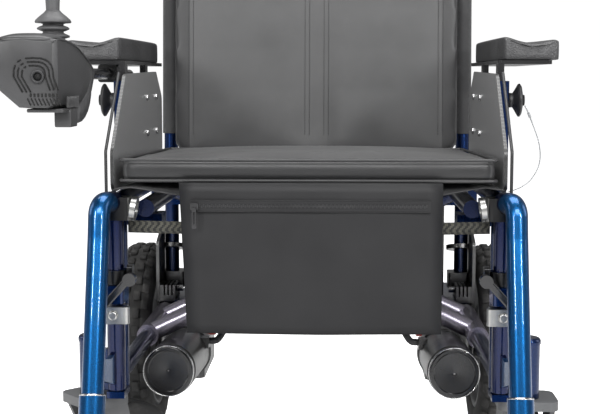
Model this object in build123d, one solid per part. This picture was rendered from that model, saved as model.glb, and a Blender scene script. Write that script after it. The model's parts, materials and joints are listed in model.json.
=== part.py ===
from build123d import *
import math
import os

# Folding power wheelchair, in millimetres: +X is the user's left, +Y points rearwards, +Z is up.
# Each function builds the piece on the +X side with y measured from the hanger pivots,
# and save() moves it so that the origin lies on the floor, midway along the chair.

originY = 184.5             # from the hanger pivots back to the origin
frameX = 235.0              # half distance between the two side frames
tubeR = 11.0                # lower side tube and seat rails
loopR, caneR = 10.9, 11.1   # front loop and back cane, so that no two welded tubes are equal
lowTubeZ = 223.0            # lower side tube
topTubeZ = 438.0            # upper side tube
frontPostY = 27.0           # front upright
rearPostY = 497.0           # rear upright
caneTopZ = 921.0            # push handle height
caneLean = 40.0             # how far the back canes lean over their height
socketEndY = 566.0          # open rear end of the lower side tube
socketR, socketDepth = 8.5, 50.0

foldAngle = 25.45           # slope of the cross braces when the chair is open
braceLowY = (250.0, 281.0, 362.0, 393.0)   # arms in turn: a, b, a, b
braceR = 13.0
railX, railZ = 200.0, 430.0
railFrontY, railBackY = 18.0, 405.0
pivotZ = 334.8              # height of the centre bolt

driveX, driveY, driveR = 283.75, 510.0, 159.0
driveWidth = 58.0
motorStart = (195.0, 160.0, 190.0)
motorSlope = 5.0
motorR = 36.0

stemX, stemY = 272.0, 30.0  # caster stem
casterR, casterTrail, casterWidth = 89.0, 40.0, 42.0
casterRestTurn = 46.0       # how far the -X caster is turned inwards at rest

hangerX = 246.0
hangerR = 13.0
sleeveTopZ = 236.0
hangerRun = 0.287           # forward run of the hanger for each unit of drop

seatHalf = 230.0
seatFrontY, seatRearY = -10.0, 420.0
seatTopZ, seatThick = 494.0, 30.0
seatRake = 1.6

armPostY = (137.0, 302.0)
padX = (249.0, 324.0)
padY = (134.0, 470.0)
stickX, stickY, stickZ = -288.0, -70.0, 608.0

runGap = 0.05               # radial clearance of a running fit
slideGap = 0.3              # clearance of a sliding part


def rod(start, end, radius):
    a, b = Vector(*start), Vector(*end)
    return Plane(origin=a, z_dir=b - a) * extrude(Circle(radius), (b - a).length)


def block(xs, ys, zs):
    size = (xs[1] - xs[0], ys[1] - ys[0], zs[1] - zs[0])
    centre = (sum(xs) / 2, sum(ys) / 2, sum(zs) / 2)
    return Pos(*centre) * Box(*size)


def roundedBlock(xs, ys, zs, radius, axis=Axis.Z):
    body = block(xs, ys, zs)
    return fillet(body.edges().filter_by(axis), radius)


def bentTube(points, radius, bend):
    path = FilletPolyline(*points, radius=bend)
    return sweep(Plane(origin=path @ 0, z_dir=path % 0) * Circle(radius), path=path)


def plateYZ(points, x, thick, corner=0):
    """A flat plate in the Y-Z plane, from x outwards."""
    sheet = Plane.YZ * make_face(Polyline(*points, close=True))
    plate = Pos(x, 0, 0) * extrude(sheet, thick)
    return fillet(plate.edges().filter_by(Axis.X), corner) if corner else plate


def turned(points, centre):
    """A wheel part turned about X: points are (along the axle, radius)."""
    outline = make_face(Polyline(*[(r, x) for x, r in points], close=True))
    body = revolve(Plane.XZ * outline, Axis.Z)
    return Pos(*centre) * Rot(0, 90, 0) * body


def hangerAt(z):
    return (hangerX, -90.0 - (sleeveTopZ - z) * hangerRun, z)


# ---- side frames ----

def sideFrame():
    cane = bentTube([(frameX, rearPostY, lowTubeZ), (frameX, rearPostY, 470),
                     (frameX, rearPostY + caneLean, caneTopZ),
                     (frameX, rearPostY + caneLean + 122, caneTopZ - 8)], caneR, 28)
    loop = bentTube([(frameX, frontPostY, 200), (frameX, frontPostY, topTubeZ),
                     (frameX, rearPostY, topTubeZ)], loopR, 30)
    lower = rod((frameX, frontPostY, lowTubeZ), (frameX, socketEndY, lowTubeZ), tubeR)
    frame = cane + loop + lower + casterHousing() + pivotBrackets()
    for y in armPostY:
        frame += armSocket(y)
    for y in (60.0, 305.0):
        frame += railSaddle(y)
    frame += batteryTray()
    frame -= rod((frameX, socketEndY - socketDepth, lowTubeZ), (frameX, socketEndY + 5, lowTubeZ), socketR)
    return frame


def casterHousing():
    head = rod((stemX, stemY, 194), (stemX, stemY, 262), 15.5)
    cap = Pos(stemX, stemY, 262) * Cylinder(16.5, 8, align=(Align.CENTER, Align.CENTER, Align.MIN))
    cap = fillet(cap.edges().sort_by(Axis.Z)[-1], 5)
    web = block((frameX, stemX), (frontPostY - 6, frontPostY + 6), (200, 252))
    bore = rod((stemX, stemY, 190), (stemX, stemY, 246), 6 + runGap)
    return head + cap + web - bore


def pivotBrackets():
    lowPlate = block((224, 246), (-11, frontPostY), (198, 206.5))
    midPlate = roundedBlock((223, 247), (-13, frontPostY), (316, 338), 4)
    lowPin = rod((frameX, 0, 206.5), (frameX, 0, 236), 7)
    midPin = rod((frameX, 0, 338), (frameX, 0, 370), 7)
    return lowPlate + midPlate + lowPin + midPin


def armSocket(y):
    half = 14.0
    body = roundedBlock((240, 257), (y - half, y + half), (444, 585), 3)
    foot = block((frameX, 250), (y - half, y + half), (432, 449.8))
    slot = block((241.9, 250.5), (y - 11.3, y + 11.3), (453, 590))
    body = body + foot - slot
    if y == armPostY[0]:
        return body - rod((249, y, 560), (258, y, 560), 4 + runGap)
    flange = block((239.7, 242.7), (y - 50, y + 54), (500, 574))
    body = body + flange - slot
    return body - screwHoles(2.55)


def screwHoles(radius):
    places = [(y, z) for y in (260.0, 343.0) for z in (511.0, 561.0)]
    holes = [rod((233, y, z), (243.5, y, z), radius) for y, z in places]
    return holes[0] + holes[1] + holes[2] + holes[3]


def railSaddle(y):
    return block((186, 238), (y, y + 35), (404, railZ - tubeR - 0.5)) + block((225, 238), (y, y + 35), (404, 432))


def batteryTray():
    floor = block((122, 221), (418, 600), (237, 240))
    lip = block((122, 204), (598, 600), (237, 262))
    strut = block((200, 238), (484, 510), (225, 240))
    return floor + lip + strut


def batteryPack():
    case = roundedBlock((125, 201), (416, 597), (240.4, 408), 6)
    handle = roundedBlock((150, 176), (460, 550), (408, 418), 4)
    return case + handle


def guardPlate():
    points = [(2, 450.5), (2, 500), (96, 594), (350, 598), (404, 560), (404, 450.5)]
    return plateYZ(points, 235.5, 4, corner=14) - screwHoles(2.55)


def guardScrews():
    screws = []
    for y in (260.0, 343.0):
        for z in (511.0, 561.0):
            head = fillet(rod((235.4, y, z), (232.8, y, z), 4.5).edges().sort_by(Axis.X)[0], 1.4)
            screws.append(head + rod((235.4, y, z), (242.7, y, z), 2.5))
    return Compound(children=screws)


def pushGrip():
    start = (frameX, rearPostY + caneLean + 34, caneTopZ - 2.2)
    end = (frameX, rearPostY + caneLean + 126, caneTopZ - 8.3)
    grip = rod(start, end, 16)
    bore = rod(start, (frameX, rearPostY + caneLean + 122.6, caneTopZ - 8.0), caneR + 0.2)
    return fillet(grip.edges(), 3) - bore


# ---- drive ----

def driveRim():
    barrel = turned([(-24, 101), (24, 101), (26, 109), (24, 109), (22, 105), (-22, 105), (-24, 109),
                     (-26, 109)], (driveX, driveY, driveR))
    dish = turned([(-6, 26), (6, 26), (6, 102), (-6, 102)], (driveX, driveY, driveR))
    hub = turned([(-24, 8), (30, 8), (30, 30), (-24, 30)], (driveX, driveY, driveR))
    shaft = rod((226, driveY, driveR), (driveX + 20, driveY, driveR), 8.5)
    return barrel + dish + hub + shaft


def driveTyre():
    h = driveWidth / 2
    points = [(-21.9, 105.3), (21.9, 105.3), (23.4, 109.3), (h, 122), (h, 142), (h - 5, 153), (h - 14, driveR),
              (-h + 14, driveR), (-h + 5, 153), (-h, 142), (-h, 122), (-23.4, 109.3)]
    tyre = turned(points, (driveX, driveY, driveR))
    blocks = 30
    for i in range(blocks):
        lug = block((h - 10, h + 1), (-3, 3), (149, 162))
        for side in (-1, 1):
            turn = Rot((i + side / 4) * 360 / blocks, 0, 0)
            groove = turn * (Pos(side * (h - 4.5) - (h - 4.5), 0, 0) * lug)
            tyre -= Pos(driveX, driveY, driveR) * groove
    return tyre


def motorPlane():
    down = math.radians(motorSlope)
    return Plane(origin=motorStart, x_dir=(1, 0, 0), z_dir=(0, math.cos(down), -math.sin(down)))


def motorCap():
    cap = extrude(Circle(34), 16)
    cap = fillet(cap.edges().sort_by(Axis.Z)[0], 2.5)
    dish = revolve(Plane.XZ * make_face(Polyline((0, -0.5), (29, -0.5), (27, 1.2), (0, 2.4), close=True)),
                   Axis.Z)
    return motorPlane() * (cap - dish)


def driveMotor():
    can = extrude(Circle(motorR), 232) - extrude(Circle(motorR + 1), 16.2)
    band = Pos(0, 0, 188) * extrude(Circle(motorR + 2.5) - Circle(motorR - 1), 10)
    terminal = Pos(-30, -18, 170) * Box(16, 16, 26)
    body = motorPlane() * (can + band + terminal)
    gearbox = roundedBlock((172, 246), (388, 552), (122, 204), 12)
    body += gearbox
    body -= rod((220, driveY, driveR), (247, driveY, driveR), 8.5 + runGap)
    body -= rod((160, 470, 183), (180, 470, 183), 5 + runGap)
    return body


def freewheelLever():
    hub = rod((171.5, 470, 183), (162, 470, 183), 9)
    pin = rod((171.5, 470, 183), (179, 470, 183), 5)
    arm = roundedBlock((163, 168), (462, 478), (186, 234), 4, Axis.X)
    return hub + pin + arm


def axlePlate():
    points = [(428, 330), (470, 346), (520, 338), (560, 250), (562, 132), (540, 112), (480, 112), (452, 150),
              (428, 236)]
    plate = plateYZ(points, 246.6, 4.8, corner=7)
    plate -= rod((240, driveY, driveR), (256, driveY, driveR), 9.5)
    clamp = roundedBlock((214, 246.5), (480, 516), (250, 276), 4)
    clamp -= rod((frameX, rearPostY, 240), (frameX, rearPostY, 290), caneR + 0.1)
    knuckle = block((222, 246.5), (430, 474), (236, 262))
    knuckle -= rod((frameX, 425, lowTubeZ), (frameX, 480, lowTubeZ), tubeR + 2.2)
    for x in (226, 232, 238):
        knuckle -= block((x, x + 2.5), (428, 476), (246, 264))
    bolt = rod((212, 452, 254), (221.9, 452, 254), 5)
    flange = Pos(frameX, rearPostY - 2, 312) * Rot(-18, 0, 0) * extrude(Ellipse(24, 17), 7)
    flange -= rod((frameX, rearPostY, 290), (frameX, rearPostY, 330), caneR + 0.1)
    flange -= block((246.4, 280), (460, 540), (290, 340))
    return Compound(children=[plate, clamp, knuckle, bolt, flange])


# ---- casters ----

def casterFork():
    crown = roundedBlock((stemX - 37, stemX + 37), (stemY - 26, stemY + 34), (182, 193.5), 12)
    stem = rod((stemX, stemY, 193), (stemX, stemY, 240), 6)
    wheelY = stemY + casterTrail
    fork = crown + stem
    for side in (-1, 1):
        x = stemX + side * 29.5
        points = [(stemY - 20, 184), (stemY + 30, 184), (wheelY + 14, casterR - 8), (wheelY - 6, casterR - 14),
                  (wheelY - 16, casterR)]
        fork += plateYZ(points, x - 3, 6)
    fork += rod((stemX - 36, wheelY, casterR), (stemX + 36, wheelY, casterR), 5)
    return fork


def casterWheel():
    centre = (stemX, stemY + casterTrail, casterR)
    h = casterWidth / 2
    hub = turned([(-h, 5 + runGap), (h, 5 + runGap), (h, 17), (7, 22), (7, 54), (15, 58), (15, 62), (-15, 62),
                  (-15, 58), (-7, 54), (-7, 22), (-h, 17)], centre)
    tyre = turned([(-15, 62.1), (15, 62.1), (h - 3, 68), (h - 2, 80), (h - 9, 87), (4, casterR),
                   (-4, casterR), (-h + 9, 87), (-h + 2, 80), (-h + 3, 68)], centre)
    return Compound(children=[hub, tyre])


# ---- footrest hangers ----

def hangerTube():
    top = bentTube([(frameX, -4, 440), (hangerX, -34, 441), hangerAt(400), hangerAt(226)], hangerR, 17)
    tube = top
    for z0, z1 in ((208.0, 292.0), (339.0, 432.0)):
        tube += rod((frameX, 0, z0), (frameX, 0, z1), tubeR)
    tube += rod((frameX, 0, 292), (frameX, 0, 312), 12.5)
    gusset = plateYZ([(-4, 213), (-81, 240), (-78, 272), (-62, 259), (-30, 252), (-4, 258)], -3, 6)
    tilt = math.degrees(math.atan2(hangerX - frameX, 88))
    tube += Pos(frameX, 0, 0) * Rot(0, 0, tilt) * gusset
    tube -= rod((frameX, 0, 200), (frameX, 0, 237), 7 + runGap)
    tube -= rod((frameX, 0, 330), (frameX, 0, 371), 7 + runGap)
    return tube - hangerBore()


def hangerBore():
    return rod(hangerAt(216), hangerAt(290), 11.2)


def hangerLatch():
    """The castings on the hanger: top elbow, ring, cup above the bracket and catch below it."""
    elbow = roundedBlock((214, 247), (-15, 13), (418.2, 446), 7)
    elbow -= rod((frameX, -4, 440), (hangerX, -34, 441), hangerR + 0.2) + Pos(frameX, -4, 440) * Sphere(13.3)
    elbow -= rod((frameX, 0, 410), (frameX, 0, 436), tubeR + 0.2)
    ring = rod((213.8, -1, 432), (207.5, -1, 431), 15) - rod((214, -1, 432), (207, -1, 431), 10.5)
    cup = rod((frameX, 0, 340), (frameX, 0, 357), 15) - rod((frameX, 0, 330), (frameX, 0, 360), tubeR + 0.05)
    tab = roundedBlock((213, 219.5), (-8, 8), (338.4, 362), 3, Axis.X)
    shield = roundedBlock((216, 254), (-19, -8.5), (292.5, 313), 4) + rod((frameX, 0, 292.5), (frameX, 0, 313), 15.4)
    shield -= rod((frameX, 0, 290), (frameX, 0, 316), 12.6)
    dome = fillet(rod((frameX, -18.9, 303), (frameX, -23, 303), 6).edges().sort_by(Axis.Y)[0], 2.5)
    return Compound(children=[elbow, ring, cup, tab, shield, dome])


def releaseLever():
    blade = roundedBlock((-4.5, 4.5), (-4, 4), (-46, 0), 2)
    blade = Pos(213.5, -24, 350) * Rot(0, -42, 0) * blade
    hub = rod((213.5, -28, 348), (213.5, -17, 348), 8)
    return blade + hub


def footrestSleeve():
    outer = rod(hangerAt(84), hangerAt(224.5), 15.4) + rod(hangerAt(200), hangerAt(284), 11.15)
    pivot = roundedBlock((238, 254), (-152, -120), (76, 100), 4)
    lug = roundedBlock((238, 254), (-200, -140), (80, 96), 4)
    pin = rod((hangerX, -268, 88), (hangerX, -190, 88), 5)
    return outer + pivot + lug + pin


def footplate():
    plate = roundedBlock((122, 262), (-300, -156), (62, 70), 14)
    for i in range(5):
        plate += block((138 + i * 20, 144 + i * 20), (-288, -168), (70, 71.5))
    barrel = rod((hangerX, -262, 88), (hangerX, -204, 88), 9) + block((240, 252), (-262, -204), (68, 84))
    return plate + barrel - rod((hangerX, -270, 88), (hangerX, -200, 88), 5 + runGap)


# ---- armrests ----

def armrestPost():
    plate = roundedBlock((243, 312), (126, 462), (606.6, 611.6), 5)
    for y in armPostY:
        plate += block((242.2, 250.2), (y - 11, y + 11), (462, 608))
    return plate


def joystickClamp():
    clamp = roundedBlock((-286, -260), (168, 206), (583, 606.6), 4, Axis.Y)
    return clamp - rod((-273, 160, 594), (-273, 210, 594), 7 + slideGap)


def armrestPad():
    low, high = 611.8, 645.0
    points = [(padY[0], low), (padY[0], high - 3), (padY[0] + 30, high - 9), (padY[0] + 110, high - 2),
              (padY[1] - 20, high), (padY[1], high - 10), (padY[1], low)]
    sheet = Plane.YZ * make_face(Polyline(*points, close=True))
    pad = Pos(padX[0], 0, 0) * extrude(sheet, padX[1] - padX[0])
    return fillet(pad.edges().filter_by(Axis.Z), 8)


def armKnob():
    y, z = armPostY[0], 560.0
    head = fillet(rod((262, y, z), (278, y, z), 21.5).edges(), 4)
    neck = rod((257.3, y, z), (262.5, y, z), 11)
    stem = rod((251.5, y, z), (258, y, z), 4)
    return head + neck + stem


def armLanyard():
    route = [(279, 137, 553), (283, 137, 546), (290, 136, 528), (299, 134, 504), (300, 130, 478),
             (288, 127, 456), (272, 126, 445), (258, 126, 441)]
    radii = bendRadii(route)
    print("lanyard bend radii", [round(r, 1) for r in radii])
    path = FilletPolyline(*route, radius=radii)
    return sweep(Plane(origin=path @ 0, z_dir=path % 0) * Circle(0.8), path=path)


def bendRadii(route):
    points = [Vector(*p) for p in route]
    radii = []
    for a, b, c in zip(points, points[1:], points[2:]):
        turn = math.radians((b - a).get_angle(c - b))
        radii.append(0.45 * min((b - a).length, (c - b).length) / math.tan(turn / 2))
    return radii


# ---- folding middle ----

def braceArm(side, ys):
    """One half of the cross brace: its sleeve is on this side's lower tube, its rail on the other side."""
    pivot = side * frameX
    rail = -side * railX
    arm = rod((pivot, 236, lowTubeZ), (pivot, 409, lowTubeZ), 15.5)
    arm += rod((rail, railFrontY, railZ), (rail, railBackY, railZ), tubeR)
    for y in ys:
        arm += rod((pivot, y, lowTubeZ), (rail, y, railZ), braceR)
        arm -= rod((0, y - 20, pivotZ), (0, y + 20, pivotZ), 5 + runGap)
    arm -= rod((pivot, 230, lowTubeZ), (pivot, 415, lowTubeZ), tubeR + runGap)
    return arm


def braceBolt():
    shank = rod((0, 229, pivotZ), (0, 415, pivotZ), 5)
    head = Plane(origin=(0, 229, pivotZ), z_dir=(0, -1, 0)) * extrude(RegularPolygon(9, 6), 6)
    nut = Plane(origin=(0, 415, pivotZ), z_dir=(0, 1, 0)) * extrude(RegularPolygon(9, 6), 7)
    return shank + head + nut


def raked(body):
    return Pos(0, seatFrontY, seatTopZ) * Rot(-seatRake, 0, 0) * Pos(0, -seatFrontY, -seatTopZ) * body


def seatCushion():
    cushion = block((-seatHalf, seatHalf), (seatFrontY, seatRearY), (seatTopZ - seatThick, seatTopZ))
    cushion = fillet(cushion.edges().filter_by(Axis.Z), 16)
    return raked(fillet(cushion.edges().group_by(Axis.Z)[-1], 6))


def seatSling():
    sling = block((-212, 212), (2, 404), (seatTopZ - seatThick - 3, seatTopZ - seatThick - 0.3))
    sling = raked(sling)
    for side in (-1, 1):
        flap = block((min(side * 212, side * 233), max(side * 212, side * 233)), (-1, 24), (453, 461))
        sling += flap
    return sling


def seatPouch():
    return roundedBlock((-151, 160), (-24, -14.5), (282, 463.5), 8, Axis.Y)


def zipSlider():
    return roundedBlock((-139, -129), (-29.5, -24.3), (433, 441), 1.5, Axis.Y)


def zipPull():
    pull = roundedBlock((-136.5, -131.5), (-33, -31), (411, 436), 1.5, Axis.Y)
    return pull - block((-135.2, -132.8), (-33.5, -30.5), (416, 431))


def frontStrap():
    return block((-223.5, 223.5), (22, 24.5), (398, 414))


def backrest():
    points = [(430, 480), (466, 928), (508, 925), (474, 480)]
    sheet = Plane.YZ * make_face(Polyline(*points, close=True))
    return Pos(-223, 0, 0) * extrude(sheet, 446)


# ---- control ----

def joystickHousing():
    points = [(-190, 596), (-184, 620), (-120, 627), (-60, 616), (-10, 594), (-14, 568), (-60, 554), (-140, 556)]
    sheet = Plane.YZ * make_face(Polyline(*points, close=True))
    case = Pos(-327, 0, 0) * extrude(sheet, 77)
    case = fillet(case.edges().filter_by(Axis.X), 6)
    base = rod((stickX, stickY, 606), (stickX, stickY, 627), 19)
    case += base
    case -= rod((stickX, stickY, 594), (stickX, stickY, 640), 14)
    case -= block((-318, -262), (-158, -112), (616, 640))
    case += block((-317, -263), (-157, -113), (600, 616.2))
    plug = roundedBlock((-270, -251.5), (-150, -118), (536, 557), 3)
    case += plug
    return case - rod((-300, -194, 592), (-300, -176, 592), 8)


def joystickGimbal():
    return Pos(stickX, stickY, stickZ) * Sphere(7)


def joystickStick():
    shaft = rod((stickX, stickY, stickZ + 9), (stickX, stickY, 645), 4)
    points = [(0, 638), (20.5, 638), (20.5, 641), (9, 658), (7, 661), (8.5, 690), (8.5, 728), (5, 735), (0, 736)]
    knob = revolve(Plane.XZ * make_face(Polyline(*points, close=True)), Axis.Z)
    return shaft + Pos(stickX, stickY, 0) * knob


def joystickKeys():
    keys = block((-316, -264), (-156, -114), (618, 620))
    for x in (-303, -290, -277):
        keys += Pos(x, -135, 621) * Box(9, 22, 3)
    return keys


def joystickBar():
    bar = rod((-273, -40, 594), (-273, 330, 594), 7)
    return bar - joystickHousing() - block((-330, -250), (-60, -9.5), (550, 640))


def motorConduit():
    route = [(157, 331, 195), (146, 331, 195), (138, 337, 205), (134, 352, 219), (134, 376, 233),
             (135, 400, 247), (135, 415.9, 247)]
    radii = bendRadii(route)
    print("conduit bend radii", [round(r, 1) for r in radii])
    path = FilletPolyline(*route, radius=radii)
    return sweep(Plane(origin=path @ 0, z_dir=path % 0) * Circle(5), path=path)


def place(body, side):
    """Move a +X piece onto its side of the chair and onto the row's origin."""
    moved = body if side > 0 else mirror(body, Plane.YZ)
    return Pos(0, -originY, 0) * moved


def save(name, body):
    export_step(body, f"parts/{name}.step")


def turnCaster(body):
    """The -X caster stands turned inwards under its stem."""
    return Pos(-stemX, stemY, 0) * Rot(0, 0, -casterRestTurn) * Pos(stemX, -stemY, 0) * mirror(body, Plane.YZ)


sidePieces = {
    "side_frame": sideFrame, "battery_pack": batteryPack, "side_guard": guardPlate,
    "guard_screws": guardScrews, "push_grip": pushGrip, "drive_rim": driveRim, "drive_tyre": driveTyre,
    "motor_end_cap": motorCap, "drive_motor": driveMotor, "freewheel_lever": freewheelLever,
    "axle_plate": axlePlate, "hanger_tube": hangerTube, "hanger_latch": hangerLatch,
    "release_lever": releaseLever, "footrest_sleeve": footrestSleeve, "footplate": footplate,
    "armrest_post": armrestPost, "armrest_pad": armrestPad, "arm_lock_knob": armKnob,
    "motor_conduit": motorConduit,
}

middlePieces = {
    "brace_bolt": braceBolt, "seat_cushion": seatCushion, "seat_sling": seatSling, "seat_pouch": seatPouch,
    "zip_slider": zipSlider, "zip_pull": zipPull, "front_strap": frontStrap, "backrest": backrest,
    "joystick_housing": joystickHousing, "joystick_gimbal": joystickGimbal, "joystick_stick": joystickStick,
    "joystick_keys": joystickKeys, "joystick_bar": joystickBar, "lock_lanyard": armLanyard,
}


def main():
    os.makedirs("parts", exist_ok=True)
    for name, make in sidePieces.items():
        body = make()
        for label, side in (("left", 1), ("right", -1)):
            piece = place(body, side)
            if name == "armrest_post" and side < 0:
                piece += place(joystickClamp(), 1)
            save(f"{label}_{name}", piece)
    for name, make in (("caster_fork", casterFork), ("caster_wheel", casterWheel)):
        body = make()
        save(f"left_{name}", place(body, 1))
        save(f"right_{name}", place(turnCaster(body), 1))
    for name, make in middlePieces.items():
        save(name, place(make(), 1))
    save("brace_a", place(braceArm(-1, braceLowY[0::2]), 1))
    save("brace_b", place(braceArm(1, braceLowY[1::2]), 1))


main()
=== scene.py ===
import bpy
import bmesh
import json
import math
from mathutils import Matrix, Vector


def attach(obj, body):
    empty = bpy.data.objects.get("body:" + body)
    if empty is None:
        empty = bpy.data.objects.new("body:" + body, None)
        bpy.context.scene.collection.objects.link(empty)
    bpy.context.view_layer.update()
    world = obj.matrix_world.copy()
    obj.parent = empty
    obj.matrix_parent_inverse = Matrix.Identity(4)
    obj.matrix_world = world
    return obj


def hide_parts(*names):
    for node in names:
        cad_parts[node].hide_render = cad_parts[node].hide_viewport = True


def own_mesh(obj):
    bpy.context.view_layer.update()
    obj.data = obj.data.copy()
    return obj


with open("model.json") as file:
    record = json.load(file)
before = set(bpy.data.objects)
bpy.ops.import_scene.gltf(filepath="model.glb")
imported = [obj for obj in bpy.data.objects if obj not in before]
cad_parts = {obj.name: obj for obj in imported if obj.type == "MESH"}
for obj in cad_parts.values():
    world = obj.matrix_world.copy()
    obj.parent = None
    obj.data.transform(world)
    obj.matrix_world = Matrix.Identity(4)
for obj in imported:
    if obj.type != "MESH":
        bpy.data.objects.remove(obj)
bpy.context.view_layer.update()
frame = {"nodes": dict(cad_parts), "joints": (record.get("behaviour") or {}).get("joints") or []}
print("frame loaded")

hingeY = -0.1845  # the hanger pivots stand this far ahead of the origin


def at(x, y, z):
    return Vector((x, y + hingeY, z))  # y counted back from the hanger pivots


def newGroup(name, inputs, outputs):
    group = bpy.data.node_groups.new(name, "ShaderNodeTree")
    for label, kind, value in inputs:
        socket = group.interface.new_socket(label, in_out="INPUT", socket_type=kind)
        if value is not None:
            socket.default_value = value
    for label, kind in outputs:
        group.interface.new_socket(label, in_out="OUTPUT", socket_type=kind)
    return group, group.nodes.new("NodeGroupInput"), group.nodes.new("NodeGroupOutput")


def addNode(tree, kind, **settings):
    node = tree.nodes.new(kind)
    for key, value in settings.items():
        if key in node.bl_rna.properties:
            setattr(node, key, value)
        else:
            node.inputs[key.replace("_", " ")].default_value = value
    return node


def wire(tree, source, target):
    tree.links.new(source, target)


def mathNode(tree, operation, first, second=None, third=None):
    node = tree.nodes.new("ShaderNodeMath")
    node.operation = operation
    for i, value in enumerate((first, second, third)):
        if value is None:
            continue
        if isinstance(value, (int, float)):
            node.inputs[i].default_value = value
        else:
            tree.links.new(value, node.inputs[i])
    return node.outputs[0]


def ramp(tree, source, low, high, outLow=0.0, outHigh=1.0):
    node = tree.nodes.new("ShaderNodeMapRange")
    node.inputs["From Min"].default_value = low
    node.inputs["From Max"].default_value = high
    node.inputs["To Min"].default_value = outLow
    node.inputs["To Max"].default_value = outHigh
    tree.links.new(source, node.inputs["Value"])
    return node.outputs["Result"]


def mixColour(tree, factor, first, second):
    node = tree.nodes.new("ShaderNodeMix")
    node.data_type = "RGBA"
    tree.links.new(factor, node.inputs[0])
    for value, slot in ((first, 6), (second, 7)):
        if isinstance(value, tuple):
            node.inputs[slot].default_value = (*value, 1)
        else:
            tree.links.new(value, node.inputs[slot])
    return node.outputs[2]


def grainGroup():
    # Fine moulded or hide-like grain: a height, and a slow mottle for colour and roughness.
    group, start, end = newGroup("fineGrain", [("Vector", "NodeSocketVector", None),
                                               ("Size", "NodeSocketFloat", 900.0),
                                               ("Mottle Size", "NodeSocketFloat", 14.0)],
                                 [("Height", "NodeSocketFloat"), ("Mottle", "NodeSocketFloat")])
    cells = addNode(group, "ShaderNodeTexVoronoi", feature="SMOOTH_F1")
    wire(group, start.outputs["Vector"], cells.inputs["Vector"])
    wire(group, start.outputs["Size"], cells.inputs["Scale"])
    noise = addNode(group, "ShaderNodeTexNoise", Detail=3.0)
    wire(group, start.outputs["Vector"], noise.inputs["Vector"])
    wire(group, start.outputs["Mottle Size"], noise.inputs["Scale"])
    wire(group, cells.outputs["Distance"], end.inputs["Height"])
    wire(group, noise.outputs["Fac"], end.inputs["Mottle"])
    return group


def wearGroup():
    # Dust and rubbed patches from slow noise, and scratches from a stretched one.
    group, start, end = newGroup("wear",
                                 [("Vector", "NodeSocketVector", None), ("Size", "NodeSocketFloat", 30.0)],
                                 [("Dust", "NodeSocketFloat"), ("Scratch", "NodeSocketFloat")])
    slow = addNode(group, "ShaderNodeTexNoise", Detail=5.0, Roughness=0.65)
    wire(group, start.outputs["Vector"], slow.inputs["Vector"])
    wire(group, start.outputs["Size"], slow.inputs["Scale"])
    stretch = addNode(group, "ShaderNodeMapping")
    stretch.inputs["Scale"].default_value = (40, 700, 40)
    wire(group, start.outputs["Vector"], stretch.inputs["Vector"])
    fine = addNode(group, "ShaderNodeTexNoise", Scale=1.0, Detail=2.0)
    wire(group, stretch.outputs["Vector"], fine.inputs["Vector"])
    wire(group, ramp(group, slow.outputs["Fac"], 0.5, 0.75), end.inputs["Dust"])
    wire(group, ramp(group, fine.outputs["Fac"], 0.62, 0.7), end.inputs["Scratch"])
    return group


def weaveGroup():
    # Threads crossing in X and Y: repeat 2 is a plain weave, 4 a twill.
    group, start, end = newGroup("weave",
                                 [("Vector", "NodeSocketVector", None), ("Pitch", "NodeSocketFloat", 0.002),
                                  ("Repeat", "NodeSocketFloat", 4.0)],
                                 [("Mask", "NodeSocketFloat"), ("Height", "NodeSocketFloat")])
    split = group.nodes.new("ShaderNodeSeparateXYZ")
    wire(group, start.outputs["Vector"], split.inputs["Vector"])
    across = mathNode(group, "DIVIDE", split.outputs["X"], start.outputs["Pitch"])
    along = mathNode(group, "DIVIDE", split.outputs["Y"], start.outputs["Pitch"])
    cell = mathNode(group, "ADD", mathNode(group, "FLOOR", across), mathNode(group, "FLOOR", along))
    share = mathNode(group, "FRACT", mathNode(group, "DIVIDE", cell, start.outputs["Repeat"]))
    mask = mathNode(group, "LESS_THAN", share, 0.49)
    warp = mathNode(group, "SINE", mathNode(group, "MULTIPLY", mathNode(group, "FRACT", across), math.pi))
    weft = mathNode(group, "SINE", mathNode(group, "MULTIPLY", mathNode(group, "FRACT", along), math.pi))
    one = mathNode(group, "MULTIPLY", warp, mask)
    other = mathNode(group, "MULTIPLY", weft, mathNode(group, "SUBTRACT", 1.0, mask))
    wire(group, mask, end.inputs["Mask"])
    wire(group, mathNode(group, "ADD", one, other), end.inputs["Height"])
    return group


groups = {"grain": grainGroup(), "wear": wearGroup(), "weave": weaveGroup()}


def useGroup(tree, key, **values):
    node = tree.nodes.new("ShaderNodeGroup")
    node.node_tree = groups[key]
    for name, value in values.items():
        node.inputs[name.replace("_", " ")].default_value = value
    return node


def startMaterial(name):
    material = bpy.data.materials.new(name)
    material.use_nodes = True
    tree = material.node_tree
    shader = tree.nodes["Principled BSDF"]
    coords = tree.nodes.new("ShaderNodeTexCoord").outputs["Object"]
    return material, tree, shader, coords


def bump(tree, shader, height, strength, distance):
    node = addNode(tree, "ShaderNodeBump", Strength=strength, Distance=distance)
    wire(tree, height, node.inputs["Height"])
    wire(tree, node.outputs["Normal"], shader.inputs["Normal"])
    return node


def zone(tree, coords, tests):
    # One where every test on the object's own axes holds, and zero elsewhere; X is taken without its sign.
    split = tree.nodes.new("ShaderNodeSeparateXYZ")
    wire(tree, coords, split.inputs["Vector"])
    width = mathNode(tree, "ABSOLUTE", split.outputs["X"])
    inside = None
    for axis, operation, limit in tests:
        test = mathNode(tree, operation, width if axis == "X" else split.outputs[axis], limit)
        inside = test if inside is None else mathNode(tree, "MULTIPLY", inside, test)
    return inside


def zoned(tree, coords, base, look):
    for colour, tests in look.get("zones", ()):
        base = mixColour(tree, zone(tree, coords, tests), base, colour)
    return base


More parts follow.
